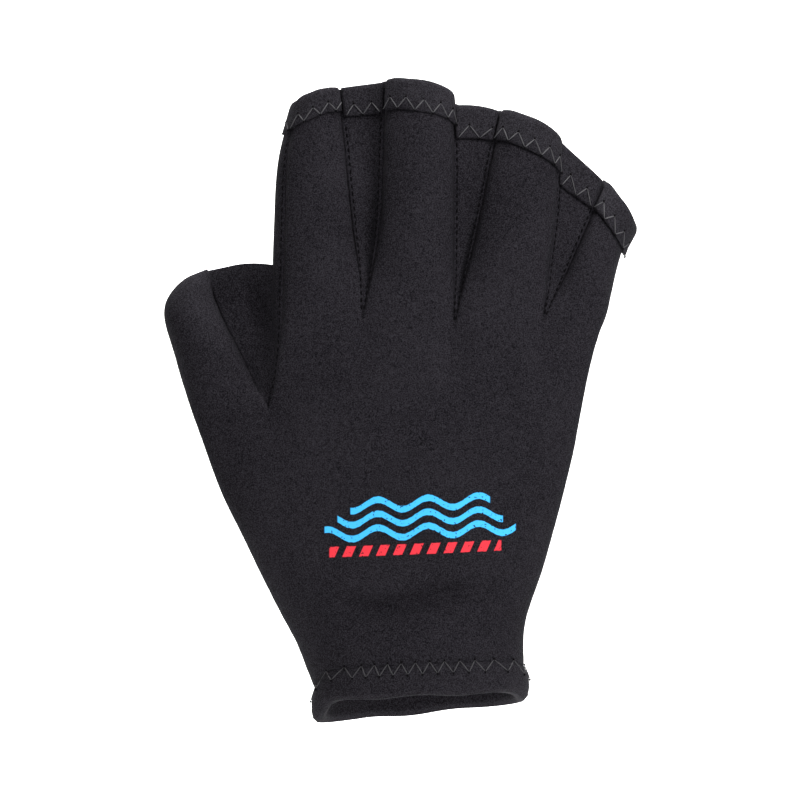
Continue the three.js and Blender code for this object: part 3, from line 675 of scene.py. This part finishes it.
def finger_hem(digit):
    scale = mouth_scale(digit)

    def place(u, w):
        spot = round_mouth(digit, u)
        full = fullness(digit, spot)
        inset, height = hem_profile(w, -(SEAM_GAP + HEM_LEAF) * full, min(1, full * 3))
        wave = HEM_WAVE * math.sin(u * 14 * math.pi) * full
        return at_mouth(digit, spot, 1 + (height + wave * (height > 0)) / scale, inset)

    bm = bmesh.new()
    lay_grid(bm, MOUTH_AROUND, HEM_SECTION, place)
    bmesh.ops.remove_doubles(bm, verts=bm.verts, dist=HEM_MERGE * MM)
    return finish_piece(f"{digit}_hem_cloth", bm, "hem_fabric", [f"{digit}_hem"])


for digit in FINGERS:
    piece = finger_hem(digit)
    print(piece.name, len(piece.data.polygons), "faces")

# %% [markdown]
# ## Hems over the webs
# The same turned edge runs over the top of each web. Its section follows the web's upper edge
# from the back valley over the top and down the palm valley.

# %% Web hems
WEB_HEM_COLUMNS, WEB_HEM_SECTION = 30, 60
WEB_HEM_REACH = 0.035, 0.965
RIM = 0.06


def web_hem(left, right):
    scale = mouth_scale(right)
    thick = SEAM_GAP + HEM_LEAF

    def place(u, w):
        s = lerp(*WEB_HEM_REACH, u)
        rim = smooth(u, 0, RIM) * smooth(1 - u, 0, RIM)
        out = thick * lerp(0.35, 1, rim)
        up = [
            (-HEM_WIDTH, 0.1), (-HEM_WIDTH, out - 0.35), (0.5 - HEM_WIDTH, out),
            (-1.0, out + 0.1), (0.8, out * 0.9), (1.7, out * 0.5),
        ]
        down = reversed(up)
        stops = [(-1, *stop) for stop in up] + [(0, HEM_ROLL, 0)] + [(1, *stop) for stop in down]
        stops += [(1, 0.1, 0.1), (-1, 0.1, 0.1), stops[0]]
        t = w * (len(stops) - 1)
        i = min(int(t), len(stops) - 2)

        def point(stop):
            side, height, proud = stop
            v = 1 + min(height, 0) / scale
            if side == 0:
                spot = (web(left, right, s, 1, -1) + web(left, right, s, 1, 1)) / 2
            else:
                spot = web(left, right, s, v, side) + Vector((0, side * proud, 0))
            spot.z += max(height, 0)
            return spot

        return point(stops[i]).lerp(point(stops[i + 1]), t - i)

    bm = bmesh.new()
    lay_grid(bm, WEB_HEM_COLUMNS, WEB_HEM_SECTION, place)
    cap_ends(bm)
    name = f"{left}_{right}_web_hem"
    return finish_piece(f"{name}_cloth", bm, "hem_fabric", [name])


for left, right in zip(FINGERS, FINGERS[1:]):
    piece = web_hem(left, right)
    print(piece.name, len(piece.data.polygons), "faces")

# %% [markdown]
# ## The cuff
# The wrist end is turned inwards, so no raw edge shows, and the fold is thick and round. A
# grid is wrapped round the wrist and round the fold's section, like a soft flattened ring.

# %% Cuff hem
CUFF_AROUND = 220
CUFF_WAVE = 0.35


def wrist(u):
    """A way round the cuff: the back from thumb to little finger, then the palm back again."""
    side = -1 if u <= 0.5 else 1
    t = (u * 2 if side < 0 else 2 - u * 2) * 5
    k = min(int(t), 4)
    return NAMES[k], t - k, side


def cuff_place(u, w):
    digit, s, side = wrist(u)
    stops = [
        (0.25, 0.6),
        (-0.15, 0.35),
        (-CUFF_ROLL * 0.75, -0.8),
        (-CUFF_ROLL, -0.3 * CUFF_HEM_WIDTH),
        (-CUFF_ROLL * 1.05, -0.6 * CUFF_HEM_WIDTH),
        (-CUFF_ROLL * 0.7, -0.86 * CUFF_HEM_WIDTH),
        (0.35 * CUFF_FOLD - CUFF_ROLL, -CUFF_HEM_WIDTH),
        (0.7 * CUFF_FOLD - CUFF_ROLL, -CUFF_HEM_WIDTH),
        (CUFF_FOLD - CUFF_ROLL, -0.82 * CUFF_HEM_WIDTH),
        (CUFF_FOLD - CUFF_ROLL, -0.4 * CUFF_HEM_WIDTH),
        (CUFF_FOLD - CUFF_ROLL, 0.4),
        (WALL, 0.6),
        (0.25, 0.6),
    ]
    t = w * (len(stops) - 1)
    i = min(int(t), len(stops) - 2)
    inset, height = [lerp(stops[i][k], stops[i + 1][k], t - i) for k in (0, 1)]
    point = skin(digit, s, 0, side, inset)
    point.z += height + CUFF_WAVE * math.sin(u * 31) * smooth(-height, 0, CUFF_HEM_WIDTH)
    return point


bm = bmesh.new()
lay_grid(bm, CUFF_AROUND, HEM_SECTION, cuff_place)
bmesh.ops.remove_doubles(bm, verts=bm.verts, dist=HEM_MERGE * MM)
cuff_cloth = finish_piece("cuff_hem_cloth", bm, "hem_fabric", ["cuff_hem"])
print(cuff_cloth.name, len(cuff_cloth.data.polygons), "faces")

# %% [markdown]
# ## Stitches
# Every web is sewn in with a row of short straight stitches, and the hems are held by a grey
# zigzag. At each of its points a small dark ball is painted shade, standing for the needle hole
# that the thread pulls in the cloth. Each stitch is one small ball drawn out along its thread,
# because it repeats hundreds of times and nobody looks closer.

# %% Straight stitches and zigzags
STITCH_STEP = 2.3
THREAD = 0.2
SEAM_THREAD = 0.3
STITCH_STARTS, STITCH_ENDS = 0.22, 0.78
WEB_SEAMS, WEB_SEAM_RUN = (0.06, 0.94), (0.52, 0.93)
INDEX_SEAM, INDEX_SEAM_RUN = 0.86, (0.53, 0.94)
SEAM_ROWS = 60
STITCH_SIDES, STITCH_RINGS = 6, 5
STITCH_FACES = STITCH_SIDES * STITCH_RINGS


def add_stitch(bm, a, b, radius):
    way = b - a
    turn = way.to_track_quat("Z", "Y").to_matrix().to_4x4()
    matrix = Matrix.Translation((a + b) / 2 * MM) @ turn @ Matrix.Diagonal(
        (radius * MM, radius * MM, (way.length / 2 + radius * 0.5) * MM, 1)
    )
    bmesh.ops.create_uvsphere(
        bm, u_segments=STITCH_SIDES, v_segments=STITCH_RINGS, radius=1, matrix=matrix
    )


def walk(points, step):
    """Points at equal distances along a path."""
    out, need = [points[0]], step
    for a, b in zip(points, points[1:]):
        length = (b - a).length
        done = 0
        while length - done >= need:
            done += need
            out.append(a.lerp(b, done / length))
            need = step
        need -= length - done
    return out


def straight_row(bm, path):
    spots = walk(path, STITCH_STEP)
    for a, b in zip(spots, spots[1:]):
        add_stitch(bm, a.lerp(b, STITCH_STARTS), a.lerp(b, STITCH_ENDS), SEAM_THREAD)


def rows_between(low, high, count):
    return [lerp(low, high, i / count) for i in range(count + 1)]


bm = bmesh.new()
for left, right in zip(FINGERS, FINGERS[1:]):
    for side in (-1, 1):
        for s in WEB_SEAMS:
            path = []
            for v in rows_between(*WEB_SEAM_RUN, SEAM_ROWS):
                point = web(left, right, s, v, side)
                width = (skin(right, 0, v, -1) - skin(left, 1, v, -1)).length
                point.y -= side * (web_dip(s, v, width, point.z) - 0.2)
                path.append(point)
            straight_row(bm, path)
for side in (-1, 1):
    rows = rows_between(*INDEX_SEAM_RUN, SEAM_ROWS)
    straight_row(bm, [flank("index", 0, side * INDEX_SEAM, v, 0.35) for v in rows])
seam_stitches = finish_piece("seam_stitches", bm, None, [])
print("seam stitches:", len(seam_stitches.data.polygons) // STITCH_FACES)

# %% Zigzags on the hems
ZIGZAG_PERIOD = 5.4
ZIGZAG_HEIGHT = 3.9
ZIGZAG_FOOT = 0.2
PROUD = 0.22
CUFF_ZIGZAG_PERIOD = 6.2
CUFF_LOW, CUFF_HIGH = (-2.6, -CUFF_ROLL - 0.3), (1.1, -0.25)
CUFF_STEPS = 200
# Size of the small dark balls that paint the shade in the needle holes.
HOLE_SHADE = 0.32


def zigzag(bm, hole_shade, low, high, period):
    """low and high are two paths side by side; the thread swings between them."""
    count = max(int(sum((b - a).length for a, b in zip(low, low[1:])) / (period / 2)), 2)
    last = None
    for i in range(count + 1):
        t = i / count * (len(low) - 1)
        k = min(int(t), len(low) - 2)
        path = low if i % 2 == 0 else high
        spot = path[k].lerp(path[k + 1], t - k)
        # A small dark ball at each point is painted shade for the needle hole.
        add_stitch(hole_shade, spot, spot + Vector((0, 0, 0.5 if i % 2 else -0.5)), HOLE_SHADE)
        if last is not None:
            add_stitch(bm, last, spot, THREAD)
        last = spot


def zigzag_rows(digit, foot):
    """The two rows that a finger hem's zigzag swings between."""
    scale = mouth_scale(digit)
    return 1 - (HEM_WIDTH - foot) / scale, 1 - (HEM_WIDTH - ZIGZAG_HEIGHT) / scale


# The second mesh holds the dark balls, the painted shade of the needle holes.
bm, hole_shade = bmesh.new(), bmesh.new()
for digit in FINGERS:
    out = -(SEAM_GAP + HEM_LEAF) - PROUD
    low_v, high_v = zigzag_rows(digit, ZIGZAG_FOOT)
    for side in (-1, 1):
        across = rows_between(0.05, 0.95, 30)
        low = [skin(digit, s, low_v, side, out) for s in across]
        high = [skin(digit, s, high_v, side, out) for s in across]
        zigzag(bm, hole_shade, low, high, ZIGZAG_PERIOD)
for digit, end in (("index", 0), ("little", 1)):
    across = rows_between(-0.95, 0.95, 20)
    full = [lerp(SIDE_FULLNESS, 1, q * q) for q in across]
    low, high = [
        [flank(digit, end, q, v, -(SEAM_GAP + HEM_LEAF) * f - 0.05) for q, f in zip(across, full)]
        for v in zigzag_rows(digit, 3 * ZIGZAG_FOOT)
    ]
    zigzag(bm, hole_shade, low, high, ZIGZAG_PERIOD)
for left, right in zip(FINGERS, FINGERS[1:]):
    across = rows_between(0.1, 0.9, 16)
    for side in (-1, 1):
        lift = Vector((0, side * (SEAM_GAP + HEM_LEAF + PROUD), 0))
        low, high = [
            [web(left, right, s, v, side) + lift for s in across]
            for v in zigzag_rows(right, ZIGZAG_FOOT)
        ]
        zigzag(bm, hole_shade, low, high, ZIGZAG_PERIOD)
low, high = [], []
for i in range(CUFF_STEPS):
    digit, s, side = wrist(i / (CUFF_STEPS - 1))
    for path, height, inset in ((low, *CUFF_LOW), (high, *CUFF_HIGH)):
        point = skin(digit, s, 0, side, inset)
        point.z += height
        path.append(point)
zigzag(bm, hole_shade, low, high, CUFF_ZIGZAG_PERIOD)
hem_zigzags = finish_piece("hem_zigzags", bm, None, [])
# The needle holes are dark balls of painted shade.
needle_hole_shade = finish_piece("needle_hole_shade", hole_shade, None, [])
print("zigzag threads:", len(hem_zigzags.data.polygons) // STITCH_FACES)
print("needle holes:", len(needle_hole_shade.data.polygons) // STITCH_FACES)

# %% [markdown]
# ## Shader maths in Python
# Materials are easier to read as sums than as a web of wires. The class below wraps a socket,
# and each operator adds the Math node it stands for. One method adds any other node.

# %% A small language for materials
class Value:
    """A socket of a material, with the operators that add Math nodes."""

    def __init__(self, material, socket):
        self.material, self.socket = material, socket

    def _math(self, operation, *values):
        inputs = dict(enumerate(values))
        return self.material.node("ShaderNodeMath", {"operation": operation}, inputs)

    def __add__(self, other):
        return self._math("ADD", self, other)

    def __sub__(self, other):
        return self._math("SUBTRACT", self, other)

    def __mul__(self, other):
        return self._math("MULTIPLY", self, other)

    def below(self, edge, soft):
        """1 where this is under the edge and 0 over it, with a soft change."""
        ends = {"From Min": edge - soft, "From Max": edge + soft, "To Min": 1.0, "To Max": 0.0}
        settings = {"interpolation_type": "SMOOTHSTEP"}
        return self.material.node("ShaderNodeMapRange", settings, {"Value": self, **ends}, "Result")

    def sine(self):
        return self._math("SINE", self)

    def size(self):
        return self._math("ABSOLUTE", self)


class Material:
    def __init__(self, name):
        self.data = bpy.data.materials.new(name)
        self.data.use_nodes = True
        self.tree = self.data.node_tree
        self.shader = self.tree.nodes["Principled BSDF"]

    def node(self, kind, settings=None, inputs=None, output=0):
        made = self.tree.nodes.new(kind)
        for key, value in (settings or {}).items():
            setattr(made, key, value)
        for key, value in (inputs or {}).items():
            self.feed(made.inputs[key], value)
        return Value(self, made.outputs[output])

    def feed(self, socket, value):
        if isinstance(value, Value):
            self.tree.links.new(value.socket, socket)
        else:
            socket.default_value = value

    def mix(self, factor, a, b):
        made = self.tree.nodes.new("ShaderNodeMix")
        made.data_type = "RGBA"
        for key, value in ((0, factor), (6, a), (7, b)):
            self.feed(made.inputs[key], value)
        return Value(self, made.outputs[2])

    def place(self):
        return self.node("ShaderNodeTexCoord", output="Object")

    def noise(self, place, scale, detail=2.0, rough=0.5):
        inputs = {"Vector": place, "Scale": scale, "Detail": detail, "Roughness": rough}
        return self.node("ShaderNodeTexNoise", {}, inputs, "Fac")

    def bump(self, height, strength, distance):
        inputs = {"Height": height, "Strength": strength, "Distance": distance}
        self.feed(self.shader.inputs["Normal"], self.node("ShaderNodeBump", {}, inputs, "Normal"))


print("material helpers ready")

# %% [markdown]
# ## Knitted nylon over foam rubber
# Close up, the face is a fine knit whose loops catch the light, so it looks like black with a
# small grain. Three noises make it: a fine grain and a coarser weave for the loops, in colour
# and bump, and a slow one for the way the pile lies. The colours are dark greys with a little
# violet, as on the real cloth.

# %% Cloth materials
GRAIN = 2900.0
WEAVE = 900.0
PILE = 45.0
GRAIN_CONTRAST = 4.2
PANEL_COLOURS = (0.0018, 0.0016, 0.0025), (0.0195, 0.018, 0.022)
HEM_COLOURS = (0.0022, 0.002, 0.0029), (0.0205, 0.019, 0.023)


def knit(name, dark, light):
    m = Material(name)
    place = m.place()
    grain = m.noise(place, GRAIN, 2.0, 0.6)
    weave = m.noise(place, WEAVE, 1.0)
    slow = m.noise(place, PILE, 2.0)
    tone = (grain - 0.5) * GRAIN_CONTRAST + (weave - 0.5) * 0.5 + (slow - 0.5) * 0.5 + 0.5
    colour = m.mix(tone, (*dark, 1), (*light, 1))
    m.feed(m.shader.inputs["Base Color"], colour)
    m.shader.inputs["Roughness"].default_value = 0.9
    m.shader.inputs["Specular IOR Level"].default_value = 0.06
    m.bump(grain * 0.6 + weave * 0.8, 0.55, 0.00025)
    return m, colour, place


foam_rubber = knit("black_knit", *PANEL_COLOURS)[0]
hem_fabric = knit("black_knit_hem", *HEM_COLOURS)[0]
# Black thread for the straight stitches; the same dark material paints the shade in the needle
# holes.
thread = Material("black_thread_and_hole_shade")
thread.shader.inputs["Base Color"].default_value = (0.0022, 0.002, 0.0026, 1)
thread.shader.inputs["Roughness"].default_value = 0.9
thread.shader.inputs["Specular IOR Level"].default_value = 0.05
grey_thread = Material("grey_thread")
grey_thread.shader.inputs["Base Color"].default_value = (0.019, 0.018, 0.021, 1)
grey_thread.shader.inputs["Roughness"].default_value = 0.6
print("cloth materials:", foam_rubber.data.name, hem_fabric.data.name, grey_thread.data.name)

# %% [markdown]
# ## A printed motif
# The back carries a small print in light blue and red: three short waves over a row of
# slanting bars. It is worked out from Object coordinates, so it lies on the cloth like ink and
# needs no image. Its edges are a little ragged, and small flecks of the ink are worn away.

# %% Print on the back
MOTIF_X, MOTIF_Z = -0.0015, 0.0595
BLUE, RED = (0.05, 0.40, 0.82, 1), (0.66, 0.035, 0.05, 1)
WAVE_LENGTH, WAVE_SWING, WAVE_THICKNESS = 0.0155, 0.0016, 0.0010
BAR_STEP, BAR_SLANT, BAR_HEIGHT, BAR_REACH = 0.0052, 0.45, 0.0016, 0.0265
WAVES = ((0.0062, 0.0215), (0.0019, 0.0255), (-0.0024, 0.0295))
BAR_DROP, TILT = 0.0078, 0.04
CRISP, RAGGED = 0.00012, 0.0004


def print_motif(m, colour, place):
    split = m.tree.nodes.new("ShaderNodeSeparateXYZ")
    m.feed(split.inputs[0], place)
    x, y, z = [Value(m, split.outputs[k]) for k in range(3)]
    x, z = x - MOTIF_X, z - MOTIF_Z - x * TILT
    back = y.below(0.0, 0.0005)
    ragged = (m.noise(place, 900.0, 2.0) - 0.5) * RAGGED
    wave = (x * (2 * math.pi / WAVE_LENGTH)).sine() * WAVE_SWING
    blue = 0
    for height, reach in WAVES:
        line = (z - height - wave + ragged).size().below(WAVE_THICKNESS, CRISP)
        blue = line * (x - 0.0015).size().below(reach, 0.0002) + blue
    slant = x - z * BAR_SLANT
    bars = (slant * (2 * math.pi / BAR_STEP)).sine().below(0.15, 0.12)
    row = (z + BAR_DROP + ragged).size().below(BAR_HEIGHT, CRISP)
    red = bars * row * x.size().below(BAR_REACH, 0.0002)
    worn = m.noise(place, 1400.0, 2.0).below(0.66, 0.05)
    inked = m.mix(red * back * worn, m.mix(blue * back * worn, colour, BLUE), RED)
    m.feed(m.shader.inputs["Base Color"], inked)


back_material, back_colour, back_place = knit("black_knit_printed", *PANEL_COLOURS)
print_motif(back_material, back_colour, back_place)
FINISHES = {"foam_rubber": foam_rubber, "hem_fabric": hem_fabric}
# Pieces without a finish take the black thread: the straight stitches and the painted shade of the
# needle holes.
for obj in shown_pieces():
    if obj.type == "MESH" and not obj.hide_render:
        obj.data.materials.clear()
        obj.data.materials.append(FINISHES.get(obj.get("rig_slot"), thread).data)
back_cloth.data.materials[0] = back_material.data
hem_zigzags.data.materials[0] = grey_thread.data

# %% [markdown]
# ## Floor, light and camera
# The glove stands clear over a pale sweep that curves up behind it. Square soft lights and a
# white surround give the even light of a catalogue picture, and a long lens keeps the glove's
# outline flat, as in the photograph.

# %% Sweep
FLOOR_Z = -0.075
SWEEP_START, SWEEP_CURVE = 0.9, 0.5
SWEEP_WIDTH, SWEEP_LENGTH, SWEEP_FRONT = 6, 5.2, 2.4


def sweep_place(u, w):
    x, run = (u - 0.5) * SWEEP_WIDTH, w * SWEEP_LENGTH - SWEEP_FRONT
    if run < SWEEP_START:
        return Vector((x, run, FLOOR_Z)) / MM
    turn = min((run - SWEEP_START) / SWEEP_CURVE, math.pi / 2)
    rise = max(run - SWEEP_START - SWEEP_CURVE * math.pi / 2, 0)
    y = SWEEP_START + SWEEP_CURVE * math.sin(turn)
    return Vector((x, y, FLOOR_Z + SWEEP_CURVE * (1 - math.cos(turn)) + rise)) / MM


bm = bmesh.new()
lay_grid(bm, 4, 120, sweep_place)
for face in bm.faces:
    face.smooth = True
sweep_mesh = bpy.data.meshes.new("sweep")
bm.to_mesh(sweep_mesh)
bm.free()
sweep = bpy.data.objects.new("sweep", sweep_mesh)
bpy.context.scene.collection.objects.link(sweep)
paper = Material("white_paper")
paper.shader.inputs["Base Color"].default_value = (0.9, 0.9, 0.9, 1)
paper.shader.inputs["Roughness"].default_value = 0.9
paper.shader.inputs["Emission Color"].default_value = (1, 1, 1, 1)
paper.shader.inputs["Emission Strength"].default_value = 0.4
sweep_mesh.materials.append(paper.data)
print("floor at", FLOOR_Z, "m")

# %% Lights and surround
world = bpy.data.worlds.new("surround")
world.use_nodes = True
world.node_tree.nodes["Background"].inputs[0].default_value = (1, 1, 1, 1)
world.node_tree.nodes["Background"].inputs[1].default_value = 0.3
bpy.context.scene.world = world


def soft_light(name, place, target, size, power):
    light = bpy.data.lights.new(name, "AREA")
    light.shape = "SQUARE"
    light.size = size
    light.energy = power
    obj = bpy.data.objects.new(name, light)
    bpy.context.scene.collection.objects.link(obj)
    obj.location = place
    obj.rotation_euler = (Vector(target) - Vector(place)).to_track_quat("-Z", "Y").to_euler()
    return obj


soft_light("key", (0.27, -0.36, 0.44), (0, 0, 0.1), 0.2, 3.4)
soft_light("backdrop", (0, 0.2, 0.85), (0, 1.4, 0.1), 0.6, 30)
soft_light("top", (0.1, -0.3, 0.95), (0, 0, 0.1), 0.6, 4)

# %% Camera
VIEW_WIDTH = 0.25
CENTRE = Vector((-0.00625, 0, 0.0975))
DISTANCE = 1.2
SENSOR = 36
camera = bpy.data.objects.new("camera", bpy.data.cameras.new("camera"))
bpy.context.scene.collection.objects.link(camera)
camera.location = CENTRE + Vector((0, -DISTANCE, 0))
camera.rotation_euler = (math.pi / 2, 0, 0)
camera.data.sensor_width = SENSOR
camera.data.lens = SENSOR * DISTANCE / VIEW_WIDTH
camera.data.clip_start, camera.data.clip_end = 0.05, 20
bpy.context.scene.camera = camera
bpy.context.scene.view_settings.view_transform = "Standard"
bpy.context.scene.view_settings.look = "None"
print("lens:", round(camera.data.lens, 1), "mm")
